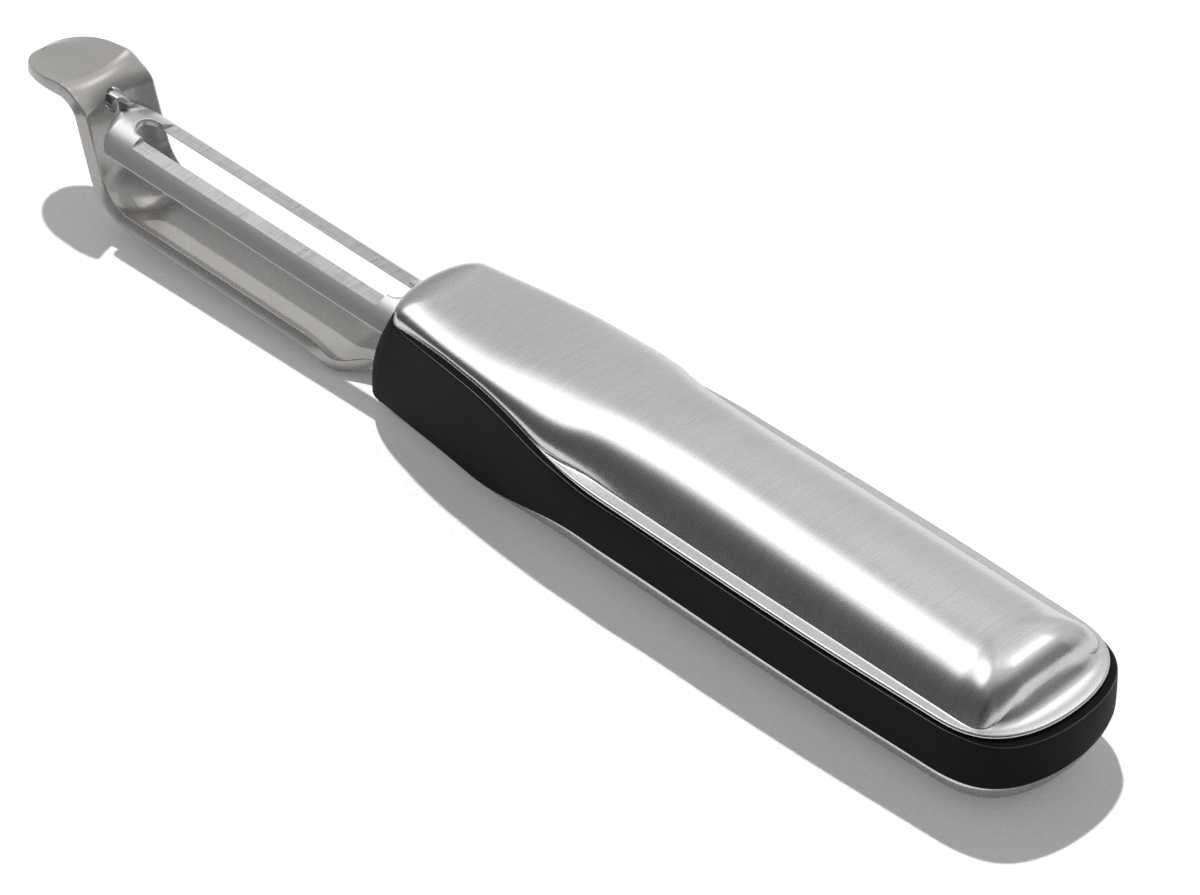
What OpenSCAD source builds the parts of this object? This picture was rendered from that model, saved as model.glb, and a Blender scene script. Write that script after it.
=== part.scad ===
// Swivel vegetable peeler: a looped steel head with a swinging slotted blade, on a handle of two shells with a
// soft grip band. Millimetres. +X runs from the scoop at the tip to the butt, +Z is up, and the tool lies as it
// rests on a table.

/* [Handle plan] */
// Handle length, foremost point of the grip to the metal at the butt
handle_len = 120.6; // [112:0.1:130]
// Distance that the upper shell's nose stands behind the foremost point of the grip
nose_back = 4.7; // [4:0.1:5.5]
// Shell width across the nose, where its rounding ends
nose_w = 17; // [16.4:0.1:18.4]
// Shell width at the middle of the finger grip
grip_w = 19.2; // [18.4:0.1:21]
// Shell width at the rear end of the finger grip
waist_w = 22.5; // [21.6:0.1:25]
// Greatest shell width
belly_w = 27.3; // [26:0.1:31]
// Shell width ahead of the butt's corners
tail_w = 26.5; // [25:0.1:30]
// Length over which the nose is rounded in plan
nose_round = 3.8; // [3:0.1:5]
// Length over which the butt is rounded in plan
butt_round = 13; // [10:0.5:16]

/* [Handle side] */
// Height of the soft band along the rear of the handle
band_h = 7.8; // [6.5:0.1:9]
// Height that the finger grip gains above the band
grip_rise = 3; // [2.4:0.1:3.4]
// Height that the finger grip gains below the band
grip_drop = 5.1; // [3.8:0.1:5.4]
// Height that the grip's upper edge loses again towards the nose
nose_fall = 1.1; // [0.8:0.05:1.3]
// Distance from the nose at which the finger grip begins to get lower
grip_end = 25; // [20:0.5:30]
// Distance over which it gets down to the band
grip_fade = 24.5; // [20:0.5:34]
// Height of the upper shell's crown above the middle plane, behind the nose
crown_front = 9; // [8.7:0.1:10.6]
// Greatest height of the crown
crown_top = 10.8; // [10.2:0.1:12]
// Height of the crown ahead of the butt
crown_rear = 9.9; // [9:0.1:11]
// Depth of the table below the middle plane, at the nose
rest_depth = 12.1; // [12.1:0.1:13.5]
// Angle between the handle's middle plane and the table
rest_pitch = 1.25; // [0.8:0.05:1.6]
// Depth by which the lower shell's curve is flattened where it rests
rest_flat = 0.3; // [0.15:0.05:0.5]

/* [Shells] */
// Thickness of the pressed sheet
shell_t = 0.7; // [0.5:0.05:0.9]
// Width of the flared lip along the sides
lip_w = 1.8; // [1.2:0.1:2.4]
// Width of the flared lip round the butt
lip_butt = 3.8; // [2.8:0.1:4.4]
// Height over which the lip curves up into the wall along the sides
lip_rise = 0.9; // [0.5:0.05:1.2]
// Height over which the lip curves up into the wall at the butt
lip_rise_butt = 2; // [1.4:0.1:2.4]

/* [Soft band] */
// Depth of the soft band, face to core
band_depth = 2.4; // [1.8:0.1:2.6]
// Distance by which the band stands proud of the shells at the rear
band_proud = 0.4; // [0.2:0.05:0.6]
// Distance by which the band stands proud round the butt
butt_proud = 1.1; // [0.8:0.05:1.6]
// Distance by which the finger grip stands proud
grip_proud = 1; // [0.6:0.05:1.2]
// Distance by which the grip stands proud at its front end
nose_proud = 0.5; // [0.4:0.05:0.8]
// Gap at the seams between band and shells
seam = 0.08; // [0.04:0.01:0.15]

/* [Head frame] */
// Thickness of the frame's sheet
frame_t = 1.9; // [1.5:0.05:1.9]
// Thickness that the sheet tapers to along the scoop
scoop_t = 1.3; // [1:0.05:1.6]
// Width of the scoop and the upright
head_w = 12.6; // [11.4:0.1:13.4]
// Width of the trough below the blade
trough_w = 12.8; // [12:0.1:14]
// Hollow across the trough and the upright
trough_dish = 1.75; // [1.2:0.05:2]
// Hollow across the scoop
scoop_dish = 0.9; // [0.5:0.05:1.4]
// Depth of the trough's floor below the middle plane
trough_depth = 10.1; // [9.6:0.05:10.1]
// Inside radius of the bend from trough to upright
trough_bend_r = 7.5; // [6:0.1:9]
// Angle of the upright from the trough
upright_angle = 76; // [73:0.5:79]
// Outside radius of the bend from upright to scoop
scoop_bend_r = 3.7; // [3:0.05:4.5]
// Downward slope of the scoop towards its tip
scoop_slope = 9; // [6:0.5:16]
// Length of the scoop ahead of its bend
scoop_len = 12; // [10:0.1:15]
// Length of the scoop's rounded end
scoop_round = 9; // [7:0.5:9.5]
// Width of the tang
tang_w = 6.8; // [6:0.1:8]
// Height by which the tang is stepped up behind the trough
tang_step = 1.4; // [1.2:0.1:1.8]
// Length of tang inside the handle
tang_len = 36; // [33:1:42]

/* [Blade] */
// Height of the blade's arch, crown to lower edges
blade_rise = 3.57; // [3.2:0.01:3.9]
// Width of the blade across its lower edges
blade_w = 11.8; // [11:0.1:12.6]
// Thickness of the blade's sheet
blade_t = 1; // [0.85:0.05:1.1]
// Height of the arch's crown above the middle plane
blade_top = 3.3; // [3:0.1:3.5]
// Length of the blade, shoulder to shoulder
blade_len = 62.4; // [58:0.1:66]
// Distance that the blade's rear shoulder stands behind the foremost point of the grip
blade_back = 4.9; // [4.2:0.1:5.5]
// Distance from the front shoulder to the hole in the upright
blade_gap = 2.2; // [2:0.05:2.6]
// Width of the slot between the cutting edges
slot_w = 3.8; // [3.2:0.1:4.2]
// Distance from the front shoulder to the slot
slot_front = 3.4; // [3:0.1:4.6]
// Distance from the slot to the rear shoulder
slot_rear = 3; // [2.6:0.1:5]
// Width of each ground strip beside the slot
strip_w = 2.15; // [1.6:0.05:2.2]
// Outward fall of the ground strips
strip_slope = 5; // [2:0.5:8]
// Length over which the blade's lower corners are rounded
corner_len = 3; // [2:0.1:3.4]
// Width over which the blade's lower corners are rounded
corner_w = 4; // [3:0.1:4.2]

/* [Pivot] */
// Height of the blade's axis above the middle plane
pivot_up = 4.1; // [3.9:0.05:4.3]
// Diameter of the blade's pintles
pintle_d = 2.6; // [2.2:0.05:2.8]
// Diameter of the hole in the upright
pivot_hole_d = 3.4; // [3.3:0.05:3.8]
// Running clearance between rear pintle and bush, on the diameter
bush_play = 0.16; // [0.06:0.02:0.2]
// Outside diameter of the bush
bush_d = 5; // [4.4:0.1:5.4]
// Distance that the bush stands behind the mouth
bush_back = 0.5; // [0.4:0.05:0.8]
// Length of the bush
bush_len = 6; // [4:0.5:8]
// Angle that the blade swings to each side before its edge meets the floor of the mouth
swing = 40; // [30:1:44]
// Clearance round the swinging blade in the mouth
mouth_gap = 0.35; // [0.3:0.05:0.6]

/* [Core] */
// Diameter of the pins that hold the tang
pin_d = 2.4; // [2:0.1:2.8]
// Distance of the first pin behind the foremost point of the grip
pin_at = 13.5; // [12:0.5:16]
// Distance between the pins
pin_pitch = 15; // [12:0.5:16]
// Clearance between the core and the pieces that it carries
core_gap = 0.2; // [0.1:0.05:0.25]

/* [Output] */
// Piece to draw

/* [Hidden] */
steel = [0.76, 0.76, 0.75];
steel_warm = [0.62, 0.61, 0.59];
soft_black = [0.12, 0.12, 0.13];
core_black = [0.17, 0.17, 0.18];
bush_white = [0.85, 0.84, 0.8];

function mix(a, b, t) = a + (b - a) * t;
function clamp(v, low, high) = min(max(v, low), high);
function ease(v, from, to) = let (t = clamp((v - from) / (to - from), 0, 1)) t * t * (3 - 2 * t);

// Steps of the plan outline along one side: round the nose, along the side, round the butt.
nose_steps = 7;
side_steps = 13;
butt_steps = 8;
half = nose_steps + side_steps + butt_steps;
count = 2 * half;

shell_nose = nose_back;
nose_lean = nose_back - nose_proud;
side_front = shell_nose + nose_round;
side_rear = handle_len - butt_round;
spine_front = shell_nose + 7;
spine_rear = handle_len - 12.4;
width_stations = [
    [shell_nose, nose_w / 2 - 0.3],
    [side_front, nose_w / 2],
    [shell_nose + 14, grip_w / 2],
    [shell_nose + 28, waist_w / 2],
    [shell_nose + 43, belly_w / 2 - 0.5],
    [shell_nose + 53, belly_w / 2 - 0.25],
    [shell_nose + 83, belly_w / 2],
    [side_rear, tail_w / 2],
    [handle_len, tail_w / 2 - 0.2]
];

// Smooth curve through a list of [x, value] stations.
function slope_at(s, i) =
    let (a = max(i - 1, 0), b = min(i + 1, len(s) - 1)) (s[b][1] - s[a][1]) / (s[b][0] - s[a][0]);
function span(s, x, i = 0) = i >= len(s) - 2 || x <= s[i + 1][0] ? i : span(s, x, i + 1);
function through(s, x) =
    let (
        i = span(s, x),
        h = s[i + 1][0] - s[i][0],
        t = clamp((x - s[i][0]) / h, 0, 1),
        a = slope_at(s, i) * h,
        b = slope_at(s, i + 1) * h
    )
    (2 * t * t * t - 3 * t * t + 1) * s[i][1] + (t * t * t - 2 * t * t + t) * a
        + (3 * t * t - 2 * t * t * t) * s[i + 1][1] + (t * t * t - t * t) * b;

// Half of the shells' plan outline as [x, half width], from the nose to the butt. The nose is blunt
// with rounded corners, the butt a flat curve between two larger ones.
side_outline = concat(
    [for (k = [0 : nose_steps - 1])
        let (a = 90 * (1 - k / nose_steps), x = side_front - nose_round * sin(a))
        [x, through(width_stations, x) * cos(a)]],
    [for (k = [0 : side_steps])
        let (x = mix(side_front, side_rear, k / side_steps))
        [x, through(width_stations, x)]],
    [for (k = [1 : butt_steps])
        let (a = 90 * k / butt_steps, x = side_rear + butt_round * pow(sin(a), 0.625))
        [x, through(width_stations, x) * pow(max(cos(a), 0), 0.93)]]
);
function fold(i) = i <= half ? i : count - i;
function plan_x(i) = side_outline[fold(i)][0];
function plan_w(i) = side_outline[fold(i)][1];
function plan_y(i) = i <= half ? -plan_w(i) : plan_w(i);
function spine_x(i) = clamp(plan_x(i), spine_front, spine_rear);
function reach(i) = norm([spine_x(i) - plan_x(i), plan_w(i)]);

// Heights of the band's two edges. At the nose the lower one dips under the tang.
function at_nose(i) = 1 - ease(plan_x(i), side_front - 0.6, side_front + 3);
function grip_share(i) = 1 - ease(plan_x(i), grip_end, grip_end + grip_fade);
function edge_z(i) =
    band_h / 2 + grip_rise * grip_share(i) - nose_fall * pow(clamp((19.5 - plan_x(i)) / 11, 0, 1), 1.5);
under_tang = trough_depth - tang_step + frame_t + 0.35;
function low_edge_z(i) =
    mix(
        -band_h / 2 - grip_drop * grip_share(i),
        -under_tang,
        at_nose(i) * (1 - ease(plan_w(i), tang_w / 2 + 1, nose_w / 2))
    );
function crown_z(x) =
    through([[spine_front, crown_front], [handle_len * 0.418, crown_top], [spine_rear, crown_rear]], x);
function table_z(x) = -rest_depth + x * tan(rest_pitch);
function butt_share(i) = ease(plan_x(i), handle_len - 28, handle_len - 9);
function lip_share(i) = ease(plan_x(i), shell_nose + 33, shell_nose + 45);
function lip(i) = mix(lip_w, lip_butt, butt_share(i)) * lip_share(i);
rim = shell_t * 0.55;

// Point of the handle at outline step i, a depth inward from the edge outline and a height z. The nose
// leans forward from its upper edge to its lower one.
function lean(i) = nose_lean * (1 - ease(plan_x(i), shell_nose, shell_nose + 15));
function at(i, depth, z) =
    let (
        k = depth / reach(i),
        s = clamp((edge_z(i) - z) / (edge_z(i) - low_edge_z(i)), 0, 1)
    )
    [mix(plan_x(i), spine_x(i), k) - lean(i) * s * (2 - s) * clamp(1 - k, 0, 1), plan_y(i) * (1 - k), z];
function ring(sections, j) = [for (i = [0 : count - 1]) at(i, sections[i][j][0], sections[i][j][1])];

// Section of the upper shell as [depth, z] pairs, over the lip and up the wall to the crown; t is 0 for
// the outer side and the sheet's thickness for the inner side.
dome_steps = [0, 9, 20, 32, 45, 58, 71, 83];
function upper_section(i, t) =
    let (
        s = lip_share(i),
        f = lip(i) + 0.1,
        g = 0.12 * (1 - s),
        z0 = edge_z(i) + shell_t * s,
        rise = mix(lip_rise, lip_rise_butt, butt_share(i)) * s,
        zs = z0 + rise + 3 * g,
        h = crown_z(spine_x(i)) - zs,
        front = 1 - ease(plan_x(i), shell_nose + 2, shell_nose + 14),
        n = mix(mix(mix(2.1, 2.6, front), 2.25, s), 2.7, butt_share(i)),
        side = t * (1 - s),
        down = t * s
    )
    concat(
        [
            [side, z0 - (t > 0 ? down : rim * s)],
            [0.5 * f + side, z0 + 0.1 * rise + g - down],
            [0.85 * f + side, z0 + 0.4 * rise + 2 * g - down]
        ],
        [for (a = dome_steps)
            [f + t + (reach(i) - f - t) * (1 - pow(cos(a), 2 / n)), zs + (h - t) * pow(sin(a), 2 / n)]]
    );

// Section of the lower shell, from the edge round to the keel.
bowl_steps = [0, 9, 20, 32, 44, 57, 70, 82];
function lower_section(i, t) =
    let (z0 = low_edge_z(i), h = z0 - table_z(spine_x(i)) + rest_flat, n = 2.2)
    [for (a = bowl_steps) [t + (reach(i) - t) * (1 - pow(cos(a), 2 / n)), z0 - (h - t) * pow(sin(a), 2 / n)]];

// Closed skin over a stack of rings; the first and last are closed across the handle's middle line.
function flip(f) = [for (k = [len(f) - 1 : -1 : 0]) f[k]];
function side_faces(rows, m) = [
    for (r = [0 : rows - 2], i = [0 : m - 1])
    [r * m + i, r * m + (i + 1) % m, (r + 1) * m + (i + 1) % m, (r + 1) * m + i]
];
function cap_faces(start, m) = [
    for (i = [0 : m / 2 - 1])
    let (a = start + i, b = start + i + 1, c = start + (m - i - 1) % m, d = start + (m - i) % m)
    i == 0 ? [a, b, c] : (i == m / 2 - 1 ? [a, b, d] : [a, b, c, d])
];
module skin(rings, upward) {
    rows = len(rings);
    points = [for (r = rings) each r];
    faces = concat(
        side_faces(rows, count),
        [for (f = cap_faces(0, count)) flip(f)],
        cap_faces((rows - 1) * count, count)
    );
    polyhedron(points = points, faces = upward ? [for (f = faces) flip(f)] : faces, convexity = 8);
}

// Open shell: outer rings from the crown down to the edge, then inner rings from the edge up to the crown.
module shell(outer, inside, upward) {
    last = len(outer[0]) - 1;
    skin(
        concat(
            [for (j = [last : -1 : 0]) ring(outer, j)],
            [for (j = [0 : last]) ring(inside, j)]
        ),
        upward
    );
}

// Places along the head.
blade_rear = blade_back;
blade_front = blade_rear - blade_len;
hole_x = blade_front - blade_gap;
upright_top_x = hole_x - 0.05;
upright_top_z = pivot_up + 0.2;
trough_z = -trough_depth;
tang_z = trough_z + tang_step;
lower_bend_top = trough_z + trough_bend_r * (1 - cos(upright_angle));
upright_len = (upright_top_z - lower_bend_top) / sin(upright_angle);
upright_foot_x = upright_top_x + upright_len * cos(upright_angle);
trough_front = upright_foot_x + trough_bend_r * sin(upright_angle);
hole_dish = 0.85 * trough_dish;
neck_rear = -1.9;
neck_front = -8.3;
scoop_bend_x = upright_top_x - scoop_bend_r * sin(upright_angle);
scoop_bend_z = upright_top_z - scoop_bend_r * cos(upright_angle);
scoop_x = scoop_bend_x - scoop_bend_r * sin(scoop_slope);
scoop_z = scoop_bend_z + scoop_bend_r * cos(scoop_slope);
tip_x = scoop_x - scoop_len * cos(scoop_slope);
tip_z = scoop_z - scoop_len * sin(scoop_slope);

// Everything is drawn with the handle's middle plane level and then laid on the table, the origin below
// the middle of the tool's length.
rest_shift = -((tip_x + handle_len + butt_proud) * cos(rest_pitch) + tip_z * sin(rest_pitch)) / 2;
module lie() {
    translate([rest_shift, 0, rest_depth * cos(rest_pitch)])
        rotate([0, rest_pitch, 0])
            children();
}

// Path of the frame's upper face as [x, z, heading, half width, hollow], from the end of the tang to the tip.
function neck_z(x) = trough_z + tang_step * ease(x, neck_front, neck_rear);
function neck_w(x) = mix(trough_w, tang_w, ease(x, neck_front, neck_rear)) / 2;
function neck_dish(x) = trough_dish * (1 - ease(x, neck_front - 5, neck_front + 3));
function neck_slope(x) = let (e = 0.05) atan((neck_z(x + e) - neck_z(x - e)) / (2 * e));
function scoop_w(s) =
    let (u = clamp((s - scoop_len + scoop_round) / scoop_round, 0, 1)) max(head_w / 2 * sqrt(1 - u * u), 0.5);
frame_path = concat(
    [for (x = [tang_len, 18, 3]) [x, tang_z, 180, tang_w / 2, 0]],
    [for (k = [0 : 10])
        let (x = mix(neck_rear + 0.8, neck_front - 5, k / 10))
        [x, neck_z(x), 180 + neck_slope(x), neck_w(x), neck_dish(x)]],
    [for (x = [-24, -36]) [x, trough_z, 180, trough_w / 2, trough_dish]],
    [for (k = [0 : 8])
        let (a = upright_angle * k / 8)
        [trough_front - trough_bend_r * sin(a), trough_z + trough_bend_r * (1 - cos(a)), 180 - a,
            mix(trough_w, head_w, k / 8) / 2, trough_dish]],
    [for (k = [1 : 2])
        let (s = upright_len * k / 3)
        [upright_foot_x - s * cos(upright_angle), lower_bend_top + s * sin(upright_angle), 180 - upright_angle,
            head_w / 2, mix(trough_dish, hole_dish, k / 3)]],
    [for (k = [0 : 9])
        let (h = upright_angle - (upright_angle + scoop_slope) * k / 9)
        [scoop_bend_x + scoop_bend_r * sin(h), scoop_bend_z + scoop_bend_r * cos(h), 180 - h,
            head_w / 2, mix(mix(hole_dish, 0.6, min(k / 5, 1)), scoop_dish, max(k - 5, 0) / 4)]],
    [for (a = [0 : 12 : 84])
        let (s = a == 0 ? (scoop_len - scoop_round) * 0.8 : scoop_len - scoop_round * (1 - sin(a)))
        [scoop_x - s * cos(scoop_slope), scoop_z - s * sin(scoop_slope), 180 + scoop_slope,
            scoop_w(s), scoop_dish * 2 * scoop_w(s) / head_w]],
    [[tip_x, tip_z, 180 + scoop_slope, 0.5, 0.01]]
);

// One ring of the sheet: its upper face across, then its lower face back. The hollow tilts the sheet's edges
// outward at their lower side.
across = [-1, -0.8, -0.55, -0.28, 0, 0.28, 0.55, 0.8, 1];
function sheet_point(p, u, t) =
    let (tilt = atan(2 * p[4] * u / p[3]), lift = p[4] * u * u - t * cos(tilt))
    [p[0] + sin(p[2]) * lift, p[3] * u + t * sin(tilt), p[1] - cos(p[2]) * lift];
function sheet_ring(p) =
    let (t = mix(frame_t, scoop_t, ease(scoop_bend_x - p[0], 0, 8)))
    concat(
        [for (u = across) sheet_point(p, u, 0)],
        [for (k = [len(across) - 1 : -1 : 0]) sheet_point(p, across[k], t)]
    );
module frame_sheet() {
    m = 2 * len(across);
    rows = len(frame_path);
    end = (rows - 1) * m;
    strips = [for (i = [0 : len(across) - 2]) [i, i + 1, m - 2 - i, m - 1 - i]];
    polyhedron(
        points = [for (p = frame_path) each sheet_ring(p)],
        faces = concat(
            side_faces(rows, m),
            [for (f = strips) flip(f)],
            [for (f = strips) [for (v = f) v + end]]
        ),
        convexity = 10
    );
}
pin_xs = [pin_at, pin_at + pin_pitch];
module pin_holes(gap) {
    for (x = pin_xs)
        translate([x, 0, tang_z - frame_t - 1])
            cylinder(d = pin_d + gap, h = frame_t + 3, $fn = 32);
}
module head_frame() {
    color(steel_warm)
        difference() {
            frame_sheet();
            translate([hole_x - 5, 0, pivot_up])
                rotate([0, 90, 0])
                    cylinder(d = pivot_hole_d, h = 10, $fn = 48);
            pin_holes(0.1);
        }
}

// Blade: an arch of thin sheet whose crown is drawn up into a pintle at each end.
blade_r = (pow(blade_w / 2, 2) + pow(blade_rise, 2)) / (2 * blade_rise);
arch_z = blade_top - blade_r;
edge_angle = atan2(blade_w / 2, blade_r - blade_rise);
edge_drop = pivot_up - arch_z - blade_r * cos(edge_angle);
swing_r = norm([blade_w / 2, edge_drop]);
mouth_r = swing_r + mouth_gap;
mouth_rear = blade_rear + mouth_gap + 0.15;
mouth_floor = pivot_up - swing_r * sin(min(atan2(edge_drop, blade_w / 2) + swing, 90)) - 0.05;
slot_x = blade_front + slot_front;
slot_len = blade_len - slot_front - slot_rear;
strip_x = slot_x + 3.7;
strip_len = slot_len - 6.4;
strip_z = arch_z + sqrt(pow(blade_r - blade_t, 2) - pow(slot_w / 2, 2)) + 0.14;
ramp = 1.6;
module arch() {
    translate([blade_front, 0, arch_z])
        rotate([90, 0, 90])
            linear_extrude(blade_len)
                difference() {
                    circle(r = blade_r, $fn = 96);
                    circle(r = blade_r - blade_t, $fn = 96);
                    for (m = [0, 1])
                        mirror([m, 0, 0])
                            polygon([
                                [0, 0],
                                [2 * blade_r * sin(edge_angle), 2 * blade_r * cos(edge_angle)],
                                [3 * blade_r, -3 * blade_r],
                                [0, -3 * blade_r]
                            ]);
                }
}
module blade_outline() {
    w = blade_w / 2 + 0.1;
    corner = [for (a = [0 : 6 : 90]) [corner_len * (1 - cos(a)), w - corner_w * (1 - sin(a))]];
    one_side = concat(
        [for (c = corner) [blade_front + c[0], c[1]]],
        [for (k = [len(corner) - 1 : -1 : 0]) [blade_rear - corner[k][0], corner[k][1]]]
    );
    translate([0, 0, arch_z - blade_r])
        linear_extrude(2 * blade_r + 1)
            polygon(concat(
                one_side,
                [for (k = [len(one_side) - 1 : -1 : 0]) [one_side[k][0], -one_side[k][1]]]
            ));
}
module slot_cut() {
    translate([0, 0, arch_z])
        linear_extrude(blade_r + 5)
            union() {
                translate([slot_x + slot_w / 2, -slot_w / 2])
                    square([slot_len - slot_w, slot_w]);
                for (x = [slot_x + slot_w / 2, slot_x + slot_len - slot_w / 2])
                    translate([x, 0])
                        circle(d = slot_w, $fn = 48);
            }
}
// Grinding of one strip beside the slot: level along the strip, with a ramp up at each end.
module strip_cut() {
    translate([0, slot_w / 2, strip_z])
        rotate([-strip_slope, 0, 0])
            translate([0, strip_w, 0])
                rotate([90, 0, 0])
                    linear_extrude(strip_w + 1.2)
                        polygon([
                            [strip_x - ramp, ramp],
                            [strip_x, 0],
                            [strip_x + strip_len, 0],
                            [strip_x + strip_len + ramp, ramp]
                        ]);
}
module pintle(from, to) {
    translate([from, 0, pivot_up])
        rotate([0, 90, 0])
            cylinder(d = pintle_d, h = to - from, $fn = 40);
}
// Throat between crown and pintle; dir is 1 towards the butt.
module throat(x, dir, reach) {
    hull() {
        translate([x, 0, pivot_up])
            rotate([0, 90, 0])
                cylinder(d = pintle_d, h = 0.02, center = true, $fn = 32);
        translate([x - dir * reach, 0, blade_top - blade_t / 2 - 0.2])
            cube([0.02, 4, blade_t - 0.3], center = true);
    }
}
bush_x = mouth_rear + bush_back;
module swivel_blade() {
    color(steel)
        union() {
            difference() {
                intersection() {
                    arch();
                    blade_outline();
                }
                slot_cut();
                for (m = [0, 1])
                    mirror([0, m, 0])
                        strip_cut();
            }
            throat(blade_front - 0.2, -1, slot_front - 0.5);
            throat(blade_rear + 0.2, 1, slot_rear - 0.4);
            pintle(hole_x - 2.3, blade_front + 0.4);
            pintle(blade_rear - 0.4, bush_x + bush_len - 0.4);
        }
}

// Shells.
module upper_shell() {
    color(steel)
        shell(
            [for (i = [0 : count - 1]) upper_section(i, 0)],
            [for (i = [0 : count - 1]) upper_section(i, shell_t)],
            true
        );
}
module below_table() {
    rotate([0, -rest_pitch, 0])
        translate([-60, -40, -rest_depth * cos(rest_pitch) - 20])
            cube([240, 80, 20]);
}
module lower_shell() {
    color(steel)
        difference() {
            shell(
                [for (i = [0 : count - 1]) lower_section(i, 0)],
                [for (i = [0 : count - 1]) lower_section(i, shell_t)],
                false
            );
            below_table();
        }
}

// Mouth that the rear of the blade swings in; its floor stops the swing.
module mouth() {
    intersection() {
        union() {
            translate([-6, 0, pivot_up])
                rotate([0, 90, 0])
                    cylinder(r = mouth_r, h = mouth_rear + 6, $fn = 72);
            translate([-6, -mouth_r, pivot_up])
                cube([mouth_rear + 6, 2 * mouth_r, 8]);
        }
        translate([-7, -20, mouth_floor])
            cube([mouth_rear + 7, 40, 30]);
    }
}
module tang_room(gap) {
    translate([-6, -tang_w / 2 - gap, tang_z - frame_t - gap])
        cube([tang_len + 6 + gap, tang_w + 2 * gap, frame_t + 2 * gap]);
}

// Soft band: one ring round the handle between the shells, swelling into the finger grips.
// At the nose its upper part draws back to the shell's front edge.
function side_proud(i) = mix(grip_proud, band_proud, ease(plan_x(i), 29.5, 65.5));
function front_share(i) = 1 - ease(plan_x(i), side_front - 0.6, shell_nose + 14);
function rear_share(i) = ease(plan_x(i), handle_len - 8, handle_len - 1.5);
function proud(i) = mix(mix(side_proud(i), nose_proud, front_share(i)), butt_proud, rear_share(i));
function top_proud(i) = proud(i) * (1 - 0.9 * at_nose(i));
function band_section(i) =
    let (p = proud(i), q = top_proud(i), a = edge_z(i) - seam, b = low_edge_z(i) + seam, c = (a + b) / 2)
    [
        [band_depth, a], [0.05, a], [-0.7 * q, a - 0.15 * q], [-0.95 * q, a - 0.45 * q], [-q, a - q],
        [-p - band_belly, c], [-p, b + 1.4 * p], [-0.8 * p, b + 0.6 * p], [-0.4 * p, b],
        [band_depth, b], [band_depth, c]
    ];
band_belly = 0.12;
module band_ring() {
    m = 11;
    points = [for (i = [0 : count - 1]) let (s = band_section(i)) each [for (q = s) at(i, q[0], q[1])]];
    faces = [
        for (k = [0 : count - 1], j = [0 : m - 1])
        let (n = (k + 1) % count)
        [k * m + j, n * m + j, n * m + (j + 1) % m, k * m + (j + 1) % m]
    ];
    polyhedron(points = points, faces = faces, convexity = 10);
}
module bush_room(gap) {
    translate([0, 0, pivot_up])
        rotate([0, 90, 0])
            cylinder(d = bush_d + gap, h = bush_x + bush_len + 0.1, $fn = 48);
}
module grip_band() {
    color(soft_black)
        difference() {
            band_ring();
            mouth();
            tang_room(0.15);
            bush_room(0.3);
        }
}

// Core halves: they meet on the middle plane, fill the shells and stand inside the band.
core_in = band_depth + core_gap;
function core_section(i, side) =
    let (
        edge = side > 0 ? edge_z(i) : low_edge_z(i),
        from = edge - side * 0.1,
        to = side > 0
            ? crown_z(spine_x(i)) - shell_t - core_gap
            : table_z(spine_x(i)) - rest_flat + shell_t + core_gap,
        inset = side > 0 ? max(core_in, lip(i) + shell_t + 2 * core_gap) : core_in,
        n = side > 0 ? 2 : 2.2
    )
    concat(
        [[core_in, side * core_gap / 4], [core_in, edge - side * 0.3]],
        [for (a = [0, 12, 26, 42, 58, 74, 83])
            [inset + (reach(i) - inset) * (1 - pow(cos(a), 2 / n)), from + (to - from) * pow(sin(a), 2 / n)]]
    );
module core_body(side) {
    sections = [for (i = [0 : count - 1]) core_section(i, side)];
    skin([for (j = [0 : len(sections[0]) - 1]) ring(sections, j)], side < 0);
}
module core_upper() {
    color(core_black)
        difference() {
            core_body(1);
            mouth();
            bush_room(0.1);
        }
}
module core_lower() {
    color(core_black)
        difference() {
            core_body(-1);
            mouth();
            tang_room(core_gap / 2);
            pin_holes(0.1);
        }
}
module pivot_bush() {
    color(bush_white)
        translate([bush_x, 0, pivot_up])
            rotate([0, 90, 0])
                difference() {
                    cylinder(d = bush_d, h = bush_len, $fn = 48);
                    translate([0, 0, -1])
                        cylinder(d = pintle_d + bush_play, h = bush_len + 2, $fn = 48);
                }
}
module tang_pins() {
    color(steel_warm)
        for (x = pin_xs)
            translate([x, 0, tang_z - frame_t - 0.35])
                cylinder(d = pin_d, h = frame_t + 2.2, $fn = 32);
}

lie() head_frame();
lie() swivel_blade();
lie() upper_shell();
lie() lower_shell();
lie() grip_band();
lie() core_upper();
lie() core_lower();
lie() pivot_bush();
lie() tang_pins();
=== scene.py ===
import bpy
import bmesh
import math
from mathutils import Vector, Matrix

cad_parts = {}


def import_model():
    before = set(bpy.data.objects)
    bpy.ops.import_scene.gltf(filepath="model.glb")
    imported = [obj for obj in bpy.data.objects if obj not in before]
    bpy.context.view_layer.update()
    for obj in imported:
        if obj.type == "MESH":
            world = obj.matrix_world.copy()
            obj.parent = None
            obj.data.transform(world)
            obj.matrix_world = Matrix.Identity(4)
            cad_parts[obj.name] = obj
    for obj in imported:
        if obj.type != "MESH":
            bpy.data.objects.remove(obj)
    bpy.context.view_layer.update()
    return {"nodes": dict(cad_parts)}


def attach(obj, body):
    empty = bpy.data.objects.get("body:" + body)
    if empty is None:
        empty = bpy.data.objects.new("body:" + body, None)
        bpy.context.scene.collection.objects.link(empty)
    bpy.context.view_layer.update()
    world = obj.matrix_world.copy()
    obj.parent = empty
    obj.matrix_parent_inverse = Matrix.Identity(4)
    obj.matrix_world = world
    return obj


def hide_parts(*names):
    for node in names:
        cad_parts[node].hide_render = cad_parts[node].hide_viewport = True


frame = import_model()

MM = 0.001

# Sizes in millimetres and degrees, as in the CAD source. X runs from the scoop to the butt and is 0
# at the foremost point of the grip, Z is 0 at the middle plane of the handle.

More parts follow.
